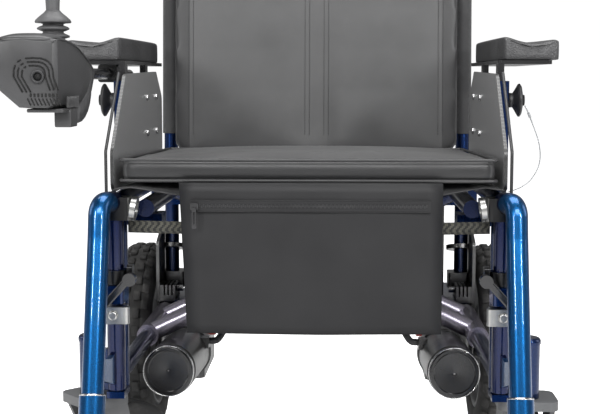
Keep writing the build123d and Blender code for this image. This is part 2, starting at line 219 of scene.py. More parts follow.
def grained(name, look):
    # One recipe for moulded plastic, rubber, vinyl and foam skins.
    material, tree, shader, coords = startMaterial(name)
    grain = useGroup(tree, "grain", Size=look["grainSize"], Mottle_Size=look.get("mottleSize", 14.0))
    wear = useGroup(tree, "wear", Size=look.get("wearSize", 30.0))
    wire(tree, coords, grain.inputs["Vector"])
    wire(tree, coords, wear.inputs["Vector"])
    dark, light = look["dark"], look["light"]
    base = mixColour(tree, ramp(tree, grain.outputs["Mottle"], 0.35, 0.65), dark, light)
    base = mixColour(tree, ramp(tree, wear.outputs["Dust"], 0, 1, 0, look.get("dust", 0.15)), base,
                     look.get("dustColour", (0.16, 0.155, 0.15)))
    base = zoned(tree, coords, base, look)
    wire(tree, base, shader.inputs["Base Color"])
    rough = ramp(tree, grain.outputs["Mottle"], 0.3, 0.7, look["rough"] - 0.05, look["rough"] + 0.07)
    wire(tree, rough, shader.inputs["Roughness"])
    shader.inputs["Specular IOR Level"].default_value = look.get("specular", 0.5)
    shader.inputs["Sheen Weight"].default_value = look.get("sheen", 0.0)
    shader.inputs["Coat Weight"].default_value = look.get("coat", 0.0)
    shader.inputs["Coat Roughness"].default_value = look.get("coatRough", 0.2)
    bump(tree, shader, grain.outputs["Height"], look["bump"], look.get("depth", 0.0004))
    return material


def planar(tree, coords, first, second):
    # Two of the object's axes as the pattern's X and Y.
    split = tree.nodes.new("ShaderNodeSeparateXYZ")
    join = tree.nodes.new("ShaderNodeCombineXYZ")
    wire(tree, coords, split.inputs["Vector"])
    wire(tree, split.outputs[first], join.inputs["X"])
    wire(tree, split.outputs[second], join.inputs["Y"])
    return join.outputs["Vector"]


def woven(name, look):
    # Cloth, webbing and woven sheet: thread colours, thread height and a little dust.
    material, tree, shader, coords = startMaterial(name)
    flat = planar(tree, coords, *look["plane"])
    weave = useGroup(tree, "weave", Pitch=look["pitch"], Repeat=look["repeat"])
    if look.get("chevron"):
        split = tree.nodes.new("ShaderNodeSeparateXYZ")
        join = tree.nodes.new("ShaderNodeCombineXYZ")
        wire(tree, flat, split.inputs["Vector"])
        fold = mathNode(tree, "PINGPONG", split.outputs["Y"], look["chevron"])
        wire(tree, split.outputs["X"], join.inputs["X"])
        wire(tree, fold, join.inputs["Y"])
        flat = join.outputs["Vector"]
    wire(tree, flat, weave.inputs["Vector"])
    wear = useGroup(tree, "wear", Size=look.get("wearSize", 20.0))
    wire(tree, coords, wear.inputs["Vector"])
    base = mixColour(tree, weave.outputs["Mask"], look["dark"], look["light"])
    base = mixColour(tree, ramp(tree, wear.outputs["Dust"], 0, 1, 0, look.get("dust", 0.1)), base,
                     (0.2, 0.2, 0.2))
    if "cutColour" in look:
        facing = tree.nodes.new("ShaderNodeTexCoord").outputs["Normal"]
        base = mixColour(tree, zone(tree, facing, [("X", "LESS_THAN", 0.6)]), base, look["cutColour"])
    wire(tree, base, shader.inputs["Base Color"])
    rough = ramp(tree, weave.outputs["Mask"], 0, 1, look["rough"],
                 look["rough"] + look.get("roughStep", 0.1))
    wire(tree, rough, shader.inputs["Roughness"])
    shader.inputs["Sheen Weight"].default_value = look.get("sheen", 0.0)
    shader.inputs["Coat Weight"].default_value = look.get("coat", 0.0)
    shader.inputs["Coat Roughness"].default_value = look.get("coatRough", 0.2)
    bump(tree, shader, weave.outputs["Height"], look["bump"], look["pitch"] * 0.25)
    return material


def metal(name, look):
    material, tree, shader, coords = startMaterial(name)
    wear = useGroup(tree, "wear", Size=look.get("wearSize", 45.0))
    grain = useGroup(tree, "grain", Size=look.get("grainSize", 1400.0),
                     Mottle_Size=look.get("mottleSize", 25.0))
    wire(tree, coords, wear.inputs["Vector"])
    wire(tree, coords, grain.inputs["Vector"])
    base = mixColour(tree, ramp(tree, grain.outputs["Mottle"], 0.3, 0.7), look["dark"], look["light"])
    base = mixColour(tree, ramp(tree, wear.outputs["Dust"], 0, 1, 0, look.get("dust", 0.2)), base,
                     (0.2, 0.2, 0.2))
    base = zoned(tree, coords, base, look)
    wire(tree, base, shader.inputs["Base Color"])
    rough = mathNode(tree, "MULTIPLY_ADD", wear.outputs["Scratch"], 0.18, look["rough"])
    wire(tree, rough, shader.inputs["Roughness"])
    shader.inputs["Metallic"].default_value = 1.0
    bump(tree, shader, grain.outputs["Height"], look.get("bump", 0.08), 0.0003)
    return material


def bluePaint(name, look):
    # Metallic blue lacquer: flakes under a clear coat.
    material, tree, shader, coords = startMaterial(name)
    flakes = addNode(tree, "ShaderNodeTexVoronoi", Scale=2600.0)
    wire(tree, coords, flakes.inputs["Vector"])
    sparkle = tree.nodes.new("ShaderNodeSeparateColor")
    wire(tree, flakes.outputs["Color"], sparkle.inputs["Color"])
    wear = useGroup(tree, "wear", Size=25.0)
    wire(tree, coords, wear.inputs["Vector"])
    shade = mathNode(tree, "MULTIPLY_ADD", sparkle.outputs["Red"], 0.55, 0.2)
    base = mixColour(tree, shade, look["deep"], look["bright"])
    base = mixColour(tree, ramp(tree, wear.outputs["Dust"], 0, 1, 0, 0.06), base, (0.05, 0.07, 0.12))
    base = zoned(tree, coords, base, look)
    wire(tree, base, shader.inputs["Base Color"])
    wire(tree, ramp(tree, sparkle.outputs["Green"], 0, 1, 0.24, 0.42), shader.inputs["Roughness"])
    shader.inputs["Metallic"].default_value = 0.95
    shader.inputs["Coat Weight"].default_value = 0.6
    shader.inputs["Coat Roughness"].default_value = 0.04
    bump(tree, shader, sparkle.outputs["Blue"], 0.05, 0.0002)
    return material


paintLooks = {
    "bluePaint": {"deep": (0.003, 0.020, 0.085), "bright": (0.004, 0.135, 0.37),
        # Behind the pivots the hanger tube is painted near-navy: painted shade, as on the side frame.
        "zones": [((0.004, 0.010, 0.055), [("Y", "GREATER_THAN", hingeY - 0.019)])]},
    # The side frame's paint is the blue paint made much darker: painted shade of tubes turned away from the
    # lights.
    "shadedBluePaint": {"deep": (0.003, 0.007, 0.034), "bright": (0.004, 0.030, 0.13)},
    "bracePaint": {"deep": (0.002, 0.020, 0.10), "bright": (0.004, 0.13, 0.36),
        "zones": [((0.30, 0.28, 0.34), [("X", "GREATER_THAN", 0.168), ("Z", "LESS_THAN", 0.29)]),
                  # Above 0.40 m the brace is painted near-black navy: painted shade under the seat.
                  ((0.006, 0.012, 0.045), [("Z", "GREATER_THAN", 0.40)])]},
}
grainedLooks = {
    "blackPlastic": {"dark": (0.014, 0.014, 0.015), "light": (0.024, 0.024, 0.026), "rough": 0.42,
        "grainSize": 1500.0, "bump": 0.25},
    "greyPlastic": {"dark": (0.085, 0.087, 0.09), "light": (0.12, 0.122, 0.125), "rough": 0.5,
        "grainSize": 1300.0, "bump": 0.2},
    "blackPaint": {"dark": (0.008, 0.008, 0.009), "light": (0.013, 0.013, 0.014), "rough": 0.22,
        "grainSize": 2200.0, "bump": 0.05, "coat": 0.6, "dust": 0.02},
    "gripRubber": {"dark": (0.012, 0.012, 0.012), "light": (0.02, 0.02, 0.02), "rough": 0.7,
        "grainSize": 900.0, "bump": 0.3},
    "tyreRubber": {"dark": (0.012, 0.012, 0.012), "light": (0.028, 0.027, 0.026), "rough": 0.78,
        "grainSize": 700.0, "bump": 0.3, "dust": 0.45, "wearSize": 22.0},
    "seatVinyl": {"dark": (0.046, 0.046, 0.047), "light": (0.056, 0.056, 0.057), "rough": 0.42,
        "grainSize": 1100.0, "bump": 0.16, "dust": 0.05, "specular": 0.55, "sheen": 0.08},
    "cushionVinyl": {"dark": (0.046, 0.046, 0.047), "light": (0.056, 0.056, 0.057), "rough": 0.42,
        "grainSize": 1100.0, "bump": 0.16, "dust": 0.05, "specular": 0.5, "sheen": 0.05,
        # The cushion's front and side faces are painted darker than its top: painted shade of faces turned
        # from the top light.
        "zones": [((0.015, 0.015, 0.016), [("Y", "LESS_THAN", hingeY - 0.0025)]),
                  ((0.020, 0.020, 0.021), [("X", "GREATER_THAN", 0.2225)])]},
    "backVinyl": {"dark": (0.048, 0.048, 0.049), "light": (0.058, 0.058, 0.059), "rough": 0.42,
        "grainSize": 1100.0, "bump": 0.16, "dust": 0.05, "specular": 0.55, "sheen": 0.08,
        # The back's outer borders are painted darker: painted shade where the pad turns away from the front
        # light.
        "zones": [((0.020, 0.020, 0.021), [("X", "GREATER_THAN", 0.197)])]},
    "edgeVinyl": {"dark": (0.024, 0.024, 0.025), "light": (0.032, 0.032, 0.033), "rough": 0.45,
        "grainSize": 1100.0, "bump": 0.16, "dust": 0.03},
    "armFoam": {"dark": (0.030, 0.030, 0.031), "light": (0.052, 0.052, 0.054), "rough": 0.42,
        "grainSize": 620.0, "bump": 0.9, "depth": 0.0008, "dust": 0.08},
    "redPlastic": {"dark": (0.35, 0.02, 0.012), "light": (0.5, 0.035, 0.02), "rough": 0.3,
        "grainSize": 1500.0, "bump": 0.1},
    "boxPlastic": {"dark": (0.034, 0.034, 0.035), "light": (0.048, 0.048, 0.050), "rough": 0.38,
        "grainSize": 1500.0, "bump": 0.2, "dust": 0.05},
    # Near-black for the control box's slots and the inside of its charge socket: painted shade in these
    # recesses.
    "gapShade": {"dark": (0.003, 0.003, 0.003), "light": (0.006, 0.006, 0.006), "rough": 0.8,
        "grainSize": 900.0, "bump": 0.1, "dust": 0.0},
    "greyRubber": {"dark": (0.055, 0.055, 0.057), "light": (0.08, 0.08, 0.082), "rough": 0.42,
        "grainSize": 1100.0, "bump": 0.2, "dust": 0.05},
    "pouchVinyl": {"dark": (0.012, 0.012, 0.013), "light": (0.016, 0.016, 0.017), "rough": 0.55,
        "grainSize": 1500.0, "bump": 0.1, "dust": 0.0, "specular": 0.3},
    "threadBlack": {"dark": (0.012, 0.012, 0.012), "light": (0.03, 0.03, 0.03), "rough": 0.6,
        "grainSize": 2500.0, "bump": 0.3, "dust": 0.0},
    "clearWire": {"dark": (0.26, 0.27, 0.28), "light": (0.40, 0.41, 0.42), "rough": 0.2,
        "grainSize": 2500.0, "bump": 0.05, "dust": 0.0, "coat": 1.0},
}
metalLooks = {
    "latchAlloy": {"dark": (0.36, 0.36, 0.35), "light": (0.50, 0.50, 0.49), "rough": 0.3, "bump": 0.25,
        "grainSize": 900.0,
        "zones": [((0.035, 0.035, 0.036), [("Z", "GREATER_THAN", 0.416), ("X", "GREATER_THAN", 0.2163)]),
                  ((0.035, 0.035, 0.036), [("Z", "GREATER_THAN", 0.335), ("Z", "LESS_THAN", 0.365)])]},
    "darkCast": {"dark": (0.10, 0.10, 0.10), "light": (0.17, 0.17, 0.17), "rough": 0.3, "bump": 0.2,
        "grainSize": 900.0},
    "zincSteel": {"dark": (0.5, 0.5, 0.5), "light": (0.7, 0.7, 0.7), "rough": 0.2},
}
wovenLooks = {
    "nylonCloth": {"plane": ("X", "Y"), "pitch": 0.0006, "repeat": 2.0, "rough": 0.6,
        "dark": (0.02, 0.02, 0.021), "light": (0.034, 0.034, 0.036), "bump": 0.5, "sheen": 0.15},
    "webbing": {"plane": ("X", "Z"), "pitch": 0.0019, "repeat": 4.0, "rough": 0.65,
        "dark": (0.012, 0.012, 0.010), "light": (0.085, 0.082, 0.065), "bump": 0.8, "chevron": 0.0076,
        "sheen": 0.2},
    "guardSheet": {"plane": ("Y", "Z"), "pitch": 0.0021, "repeat": 4.0, "rough": 0.3, "roughStep": 0.22,
        "dark": (0.10, 0.10, 0.102), "light": (0.27, 0.27, 0.272), "bump": 0.25, "coat": 0.7,
        "coatRough": 0.3, "dust": 0.04, "cutColour": (0.012, 0.012, 0.012)},
}
finishes = {}
for maker, looks in ((bluePaint, paintLooks), (grained, grainedLooks), (metal, metalLooks),
                     (woven, wovenLooks)):
    for name, look in looks.items():
        finishes[name] = maker(name, look)
print("materials made")

cadFinish = {
    "bluePaint": ["hanger_tube", "footrest_sleeve"],
    "shadedBluePaint": ["side_frame"],
    "bracePaint": ["brace_a", "brace_b"],
    "blackPaint": ["motor_end_cap", "battery_pack", "armrest_post", "joystick_bar", "release_lever"],
    "blackPlastic": ["arm_lock_knob", "motor_conduit", "footplate", "joystick_housing",
                     "joystick_stick", "joystick_keys", "zip_slider", "zip_pull"],
    "nylonCloth": ["seat_sling", "seat_pouch", "front_strap"],
    "clearWire": ["lock_lanyard"],
    "guardSheet": ["side_guard"],
    "zincSteel": ["guard_screws", "brace_bolt"],
    "gripRubber": ["push_grip", "joystick_gimbal"],
    "greyPlastic": ["drive_rim", "caster_wheel", "caster_fork"],
    "tyreRubber": ["drive_tyre"],
    "latchAlloy": ["hanger_latch"],
    "darkCast": ["drive_motor", "axle_plate"],
    "redPlastic": ["freewheel_lever"],
    "armFoam": ["armrest_pad"],
    "seatVinyl": ["seat_cushion", "backrest"],
}


def dressCad():
    for finish, nodes in cadFinish.items():
        for node in nodes:
            for name in (node, f"left_{node}", f"right_{node}"):
                if name in frame["nodes"]:
                    mesh = frame["nodes"][name].data
                    mesh.materials.clear()
                    mesh.materials.append(finishes[finish])


dressCad()


def addPiece(name, bm, body, finish, levels=0, smooth=True, stands=()):
    bmesh.ops.recalc_face_normals(bm, faces=bm.faces)
    mesh = bpy.data.meshes.new(name)
    bm.to_mesh(mesh)
    bm.free()
    return addMesh(name, mesh, body, finish, levels, smooth, stands)


def addMesh(name, mesh, body, finish, levels=0, smooth=True, stands=()):
    piece = bpy.data.objects.new(name, mesh)
    bpy.context.scene.collection.objects.link(piece)
    mesh.materials.clear()
    mesh.materials.append(finishes[finish])
    for face in mesh.polygons:
        face.use_smooth = smooth
    if levels:
        rounder = piece.modifiers.new("smooth", "SUBSURF")
        rounder.levels = rounder.render_levels = levels
    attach(piece, body)
    if stands:
        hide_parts(*stands)
    return piece


def addBlock(bm, low, high, bevel=0.0, segments=2, turn=None):
    # A box between two corners, its edges rounded, turned about its own middle.
    made = bmesh.ops.create_cube(bm, size=1.0)
    verts = made["verts"]
    low, high = Vector(low), Vector(high)
    bmesh.ops.scale(bm, verts=verts, vec=high - low)
    if turn:
        bmesh.ops.rotate(bm, verts=verts, matrix=turn)
    bmesh.ops.translate(bm, verts=verts, vec=(low + high) / 2)
    if bevel:
        edges = list({e for v in verts for e in v.link_edges})
        bmesh.ops.bevel(bm, geom=edges, offset=bevel, offset_type="OFFSET", segments=segments, profile=0.5,
                        affect="EDGES", material=-1)


def addRod(bm, start, end, radius, tip=None, segments=24):
    # A round bar; tip is the radius at its far end.
    start, end = Vector(start), Vector(end)
    axis = end - start
    turn = axis.to_track_quat("Z", "Y").to_matrix().to_4x4()
    place = Matrix.Translation((start + end) / 2) @ turn
    bmesh.ops.create_cone(bm, cap_ends=True, segments=segments, radius1=radius,
                          radius2=radius if tip is None else tip, depth=axis.length, matrix=place)


def addTurned(bm, profile, centre, axis, segments=48):
    # profile is (along the axis, radius) pairs, spun round the axis into a closed skin.
    turn = Vector(axis).to_track_quat("Z", "Y").to_matrix().to_4x4()
    part = bmesh.new()
    verts = [part.verts.new((radius, 0, along)) for along, radius in profile]
    edges = [part.edges.new(pair) for pair in zip(verts, verts[1:])]
    if profile[0][1] > 0:
        edges.append(part.edges.new((verts[-1], verts[0])))
    bmesh.ops.spin(part, geom=verts + edges, cent=(0, 0, 0), axis=(0, 0, 1), angle=math.tau, steps=segments,
                   use_merge=True)
    bmesh.ops.remove_doubles(part, verts=part.verts, dist=1e-6)
    addPart(bm, part, Matrix.Translation(Vector(centre)) @ turn)


def addPart(bm, part, place):
    # A shape made on its own is put in its place in another.
    bmesh.ops.recalc_face_normals(part, faces=part.faces)
    bmesh.ops.transform(part, matrix=place, verts=part.verts)
    mesh = bpy.data.meshes.new("part")
    part.to_mesh(mesh)
    part.free()
    bm.from_mesh(mesh)
    bpy.data.meshes.remove(mesh)


def sideLabel(side):
    return "left" if side > 0 else "right"


def frameBody(side):
    return f"{sideLabel(side)}_frame"


def tubeMesh(name, points, radius, order=3, cyclic=False, flat=None):
    # A smooth tube along control points, as a mesh.
    curve = bpy.data.curves.new(name, "CURVE")
    curve.dimensions = "3D"
    curve.bevel_depth = radius
    curve.bevel_resolution = 4
    curve.resolution_u = 12
    curve.use_fill_caps = True
    line = curve.splines.new("NURBS")
    line.points.add(len(points) - 1)
    for i, p in enumerate(points):
        line.points[i].co = (*p, 1)
    line.order_u = order
    line.use_endpoint_u = not cyclic
    line.use_cyclic_u = cyclic
    holder = bpy.data.objects.new(name, curve)
    bpy.context.scene.collection.objects.link(holder)
    bpy.context.view_layer.update()
    mesh = bpy.data.meshes.new_from_object(holder.evaluated_get(bpy.context.evaluated_depsgraph_get()))
    bpy.data.objects.remove(holder)
    mesh.name = name
    return mesh


def bake(piece):
    # The modifiers' result becomes the piece's own mesh.
    graph = bpy.context.evaluated_depsgraph_get()
    mesh = bpy.data.meshes.new_from_object(piece.evaluated_get(graph))
    piece.modifiers.clear()
    piece.data = mesh
    return mesh


def puff(piece, look, isHeld):
    # Foam under a cover: remesh, blow up with its seams held, and limit how far any point moves.
    remesh = piece.modifiers.new("remesh", "REMESH")
    remesh.mode = "VOXEL"
    remesh.voxel_size = look["voxel"]
    mesh = bake(piece)
    start = [v.co.copy() for v in mesh.vertices]
    held = piece.vertex_groups.new(name="held")
    held.add([i for i, co in enumerate(start) if isHeld(co)], 1.0, "REPLACE")
    cloth = piece.modifiers.new("cloth", "CLOTH")
    settings = cloth.settings
    settings.quality = 4
    settings.vertex_group_mass = "held"
    settings.use_pressure = True
    settings.uniform_pressure_force = look["pressure"]
    settings.tension_stiffness = settings.compression_stiffness = look["stiffness"]
    settings.bending_stiffness = look["bending"]
    settings.effector_weights.gravity = 0
    scene = bpy.context.scene
    for i in range(1, 21):
        scene.frame_set(i)
    mesh = bake(piece)
    scene.frame_set(1)
    for v, co in zip(mesh.vertices, start):
        move = v.co - co
        if move.length > look["cap"]:
            v.co = co + move.normalized() * look["cap"]
    for face in mesh.polygons:
        face.use_smooth = True
    rounder = piece.modifiers.new("smooth", "SUBSURF")
    rounder.levels = rounder.render_levels = 1
    return piece


def crumple(piece):
    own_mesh(piece)


seat = {"half": 0.226, "front": -0.006, "rear": 0.416, "top": 0.491, "thick": 0.025, "rake": 1.6,
        "corner": 0.016, "welt": 0.0021}


def raked(co):
    # Tip a point of the level seat down towards the rear.
    low = math.tan(math.radians(seat["rake"]))
    return Vector((co[0], co[1], co[2] - (co[1] - hingeY - seat["front"]) * low))


def makeCushion():
    look = {"voxel": 0.006, "pressure": 4.0, "cap": 0.009, "stiffness": 12.0, "bending": 0.4}
    bm = bmesh.new()
    low = at(-seat["half"], seat["front"], seat["top"] - seat["thick"])
    high = at(seat["half"], seat["rear"], seat["top"])
    addBlock(bm, low, high)
    upright = [e for e in bm.edges if abs(e.verts[0].co.z - e.verts[1].co.z) > 0.01]
    bmesh.ops.bevel(bm, geom=upright, offset=seat["corner"], segments=4, profile=0.5, affect="EDGES",
                    material=-1)
    for v in bm.verts:
        v.co = raked(v.co)
    piece = addPiece("cushionPad", bm, "seat", "cushionVinyl", stands=("seat_cushion",))
    mid = seat["top"] - seat["thick"] / 2

    def isHeld(co):
        drop = raked((0, co.y, mid)).z
        edge = abs(abs(co.z - drop) - seat["thick"] / 2) < 0.004
        rim = abs(co.x) > seat["half"] - 0.004 or co.y < hingeY + seat["front"] + 0.004
        rim = rim or co.y > hingeY + seat["rear"] - 0.004
        return co.z < drop - 0.009 or (edge and rim)

    puff(piece, look, isHeld)
    crumple(piece)
    for name, z in (("cushionWeltTop", seat["top"]), ("cushionWeltLow", seat["top"] - seat["thick"])):
        mesh = tubeMesh(name, weltLoop(z), seat["welt"], cyclic=True)
        crumple(addMesh(name, mesh, "seat", "edgeVinyl"))


def weltLoop(z):
    half, c = seat["half"] + 0.0005, seat["corner"]
    points = []
    corners = [(-half, seat["front"]), (half, seat["front"]), (half, seat["rear"]), (-half, seat["rear"])]
    for i, (x, y) in enumerate(corners):
        px, py = corners[i - 1]
        nx, ny = corners[(i + 1) % 4]
        back = Vector((px - x, py - y)).normalized() * c
        ahead = Vector((nx - x, ny - y)).normalized() * c
        points.append(raked(at(x + back.x, y + back.y, z)))
        points.append(raked(at(x + back.x * 0.25, y + back.y * 0.25, z)))
        points.append(raked(at(x + ahead.x * 0.25, y + ahead.y * 0.25, z)))
        points.append(raked(at(x + ahead.x, y + ahead.y, z)))
        for k in range(1, 8):
            points.append(raked(at(x + (nx - x) * k / 8, y + (ny - y) * k / 8, z)))
    return points


def makeSling():
    # The nylon seat: a cloth between the rails whose front edge hangs in a shallow scallop.
    look = {"half": 0.237, "front": 0.0, "rear": 0.402, "z": 0.4600, "sag": 0.009, "thick": 0.0016,
            "hang": 0.013}
    bm = bmesh.new()
    bmesh.ops.create_grid(bm, x_segments=60, y_segments=40, size=0.5)
    for v in bm.verts:
        u, t = v.co.x * 2, v.co.y + 0.5
        x = u * look["half"]
        y = look["front"] + t * (look["rear"] - look["front"])
        scallop = math.sin(min(abs(u), 1) * math.pi) ** 2 * look["hang"] * max(0.0, 1 - t * 9)
        bow = (1 - u * u) * look["sag"] * 0.25
        corner = max(0.0, abs(u) - 0.9) * 0.05
        rake = (y - seat["front"]) * math.tan(math.radians(seat["rake"]))
        v.co = at(x, y + 0.004 * math.sin(u * 9) * max(0.0, 1 - t * 9),
                  look["z"] - scallop - bow - corner - rake)
    piece = addPiece("seatSlingCloth", bm, "seat", "nylonCloth", stands=("seat_sling",))
    solid = piece.modifiers.new("thickness", "SOLIDIFY")
    solid.thickness = look["thick"]
    solid.offset = -1
    bake(piece)
    crumple(piece)


pouch = {"left": -0.1530, "right": 0.1610, "foot": 0.008, "top": 0.4646, "low": 0.283, "y": -0.0185,
         "zip": 0.4375, "zipLeft": -0.136, "zipRight": 0.143}


def makePouch():
    # A flat zipped apron bag: two faces lofted round its edge, slack near the bottom.
    bm = bmesh.new()
    bmesh.ops.create_cube(bm, size=1.0)
    bmesh.ops.subdivide_edges(bm, edges=list(bm.edges), cuts=15, use_grid_fill=True)
    for v in bm.verts:
        u, w, s = v.co.x * 2, v.co.z * 2, v.co.y * 2
        down = (1 - w) / 2
        x0 = pouch["left"] + pouch["foot"] * down
        x = x0 + (u + 1) / 2 * (pouch["right"] - x0)
        z = pouch["low"] + (w + 1) / 2 * (pouch["top"] - pouch["low"])
        fat = (1 - abs(u) ** 6) * (1 - abs(w) ** 8) * 0.0035 * (0.4 + down)
        ripple = 0.0008 * math.sin(u * 7 + w * 2) * (1 - u * u) + 0.0006 * math.sin(w * 9 - u * 3)
        sag = -0.0015 * math.cos(u * math.pi / 2) * down
        v.co = at(x, pouch["y"] + s * (0.0022 + fat) + ripple, z + sag)
    piece = addPiece("pouchShell", bm, "seat", "pouchVinyl", stands=("seat_pouch",))
    crumple(piece)
    bm = bmesh.new()
    edge = 0.004
    for base in (pouch["zip"] + 0.0062, pouch["zip"] - 0.0072):
        low = (pouch["zipLeft"] - edge, base)
        high = (pouch["zipRight"] + edge, base + 0.0010)
        addBlock(bm, at(low[0], pouch["y"] - 0.0075, low[1]), at(high[0], pouch["y"] - 0.0045, high[1]),
                 0.0004)
    addBlock(bm, at(pouch["zipLeft"] - edge, pouch["y"] - 0.0066, pouch["zip"] - 0.0062),
             at(pouch["zipRight"] + edge, pouch["y"] - 0.0045, pouch["zip"] + 0.0062))
    crumple(addPiece("zipTape", bm, "seat", "pouchVinyl", smooth=False))
    bm = bmesh.new()
    count = 118
    for i in range(count):
        x = pouch["zipLeft"] + (pouch["zipRight"] - pouch["zipLeft"]) * (i + 0.5) / count
        lift = 0.0006 if i % 2 else -0.0006
        addBlock(bm, at(x - 0.0008, pouch["y"] - 0.0078, pouch["zip"] - 0.0016 + lift),
                 at(x + 0.0008, pouch["y"] - 0.0066, pouch["zip"] + 0.0016 + lift))
    crumple(addPiece("zipTeeth", bm, "seat", "blackPlastic", smooth=False))


def makeStitches(name, runs, body, pitch=0.0042, length=0.0028, size=0.00035, folds=True):
    # Thread lying on the surface in short dashes along each run.
    bm = bmesh.new()
    for start, end in runs:
        start, end = Vector(start), Vector(end)
        span = end - start
        count = max(1, int(span.length / pitch))
        for i in range(count):
            a = start + span * ((i + 0.2) / count)
            b = a + span.normalized() * length
            addRod(bm, a, b, size, segments=6)
    piece = addPiece(name, bm, body, "threadBlack")
    if folds:
        crumple(piece)


back = {"half": 0.2205, "foot": 0.474, "head": 0.926, "lean": 0.0875, "front": 0.434, "thick": 0.044,
        "seams": (-0.195, -0.013, 0.0166, 0.194)}


def leaned(x, y, z):
    return at(x, y + (z - 0.478) * back["lean"], z)


def makeBackrest():
    look = {"voxel": 0.0056, "pressure": 5.0, "cap": 0.011, "stiffness": 10.0, "bending": 0.3}
    bm = bmesh.new()
    addBlock(bm, (-back["half"], 0, back["foot"]), (back["half"], back["thick"], back["head"]))
    ends = [e for e in bm.edges if abs(e.verts[0].co.y - e.verts[1].co.y) > 0.01]
    bmesh.ops.bevel(bm, geom=ends, offset=0.018, segments=4, profile=0.5, affect="EDGES", material=-1)
    for v in bm.verts:
        v.co = leaned(v.co.x, back["front"] + v.co.y, v.co.z)
    piece = addPiece("backPad", bm, "right_frame", "backVinyl", stands=("backrest",))

    def isHeld(co):
        y = co.y - hingeY - (co.z - 0.478) * back["lean"] - back["front"]
        seam = min(abs(co.x - s) for s in back["seams"]) < 0.0032
        edge = abs(co.x) > back["half"] - 0.003 or co.z < back["foot"] + 0.003
        return y > 0.0156 or seam or edge

    puff(piece, look, isHeld)
    crumple(piece)
    makeBackSling()
    runs = []
    for x in back["seams"]:
        for shift in (-0.0035, 0.0035):
            runs.append((leaned(x + shift, back["front"] - 0.0012, 0.50),
                         leaned(x + shift, back["front"] - 0.0012, 0.915)))
    makeStitches("backStitches", runs, "right_frame")


def makeBackSling():
    # The nylon back the pads lie on, its edges sleeved round the canes.
    look = {"half": 0.235, "foot": 0.50, "head": 0.905, "sleeve": 0.0138}
    bm = bmesh.new()
    steps = 12
    for side in (-1, 1):
        ring = []
        for k in range(steps + 1):
            angle = math.tau * k / steps
            ring.append((side * look["half"] + look["sleeve"] * math.cos(angle),
                         look["sleeve"] * math.sin(angle)))
        verts = []
        for x, y in ring[:-1]:
            verts.append(bm.verts.new((x, y, look["foot"])))
        loop = [bm.edges.new((verts[i], verts[(i + 1) % steps])) for i in range(steps)]
        made = bmesh.ops.extrude_edge_only(bm, edges=loop)["geom"]
        top = [g for g in made if isinstance(g, bmesh.types.BMVert)]
        bmesh.ops.translate(bm, verts=top, vec=(0, 0, look["head"] - look["foot"]))
    addBlock(bm, (-look["half"] + 0.012, -0.0135, look["foot"]),
             (look["half"] - 0.012, -0.0115, look["head"]))
    for v in bm.verts:
        y = 0.497 + (v.co.z - 0.47) * (0.040 / 0.451)
        v.co = at(v.co.x, y + v.co.y, v.co.z)
    piece = addPiece("backSling", bm, "right_frame", "nylonCloth")
    crumple(piece)


def makeStrap():
    # The webbing between the front uprights.
    look = {"half": 0.2225, "y": 0.0232, "low": 0.399, "high": 0.414, "thick": 0.0018}
    bm = bmesh.new()
    bmesh.ops.create_grid(bm, x_segments=60, y_segments=2, size=0.5)
    for v in bm.verts:
        u, w = v.co.x * 2, v.co.y + 0.5
        sag = 0.0025 * (1 - u * u)
        v.co = at(u * look["half"], look["y"] - 0.0015 * math.cos(u * 1.5),
                  look["low"] + w * (look["high"] - look["low"]) - sag)
    piece = addPiece("webbing", bm, "right_frame", "webbing", stands=("front_strap",))
    solid = piece.modifiers.new("thickness", "SOLIDIFY")
    solid.thickness = look["thick"]
    bake(piece)
    crumple(piece)


def makeArmPad(side):
    # A moulded foam pad with a shallow trough along its top, lofted along its length.
    look = {"inner": 0.2495, "outer": 0.3235, "front": 0.1345, "low": 0.6119, "top": 0.6445,
            "trough": 0.0085, "corner": 0.006}
    bm = bmesh.new()
    stations = [0.0, 0.004, 0.012, 0.05, 0.1, 0.16, 0.22, 0.28, 0.318, 0.330, 0.335]
    rings = []
    across = [0.0, 0.08, 0.2, 0.35, 0.5, 0.65, 0.8, 0.92, 1.0]
    for s in stations:
        y = look["front"] + s
        ends = min(s, 0.335 - s)
        inset = max(0.0, 0.006 - ends) * 0.7
        trough = look["trough"] * (1 - 0.75 * min(1.0, s / 0.2))
        ring = [(look["outer"] - inset, look["low"]), (look["inner"] + inset, look["low"])]
        for u in across:
            x = look["inner"] + inset + u * (look["outer"] - look["inner"] - 2 * inset)
            soft = look["corner"] * (max(0.0, 1 - u / 0.1) ** 2 + max(0.0, (u - 0.9) / 0.1) ** 2)
            z = look["top"] - trough * math.sin(u * math.pi) ** 1.3 - soft * 0.5 - inset - 0.004 * u
            ring.append((x, z))
        rings.append([at(side * x, y, z) for x, z in ring])
    loft(bm, rings)
    corners = [e for e in bm.edges if e.is_manifold and e.calc_face_angle(0) > 0.9]
    bmesh.ops.bevel(bm, geom=corners, offset=0.0022, segments=2, profile=0.5, affect="EDGES", material=-1)
    label = sideLabel(side)
    piece = addPiece(f"{label}ArmPad", bm, f"{label}_armrest", "armFoam", levels=1,
                     stands=(f"{label}_armrest_pad",))


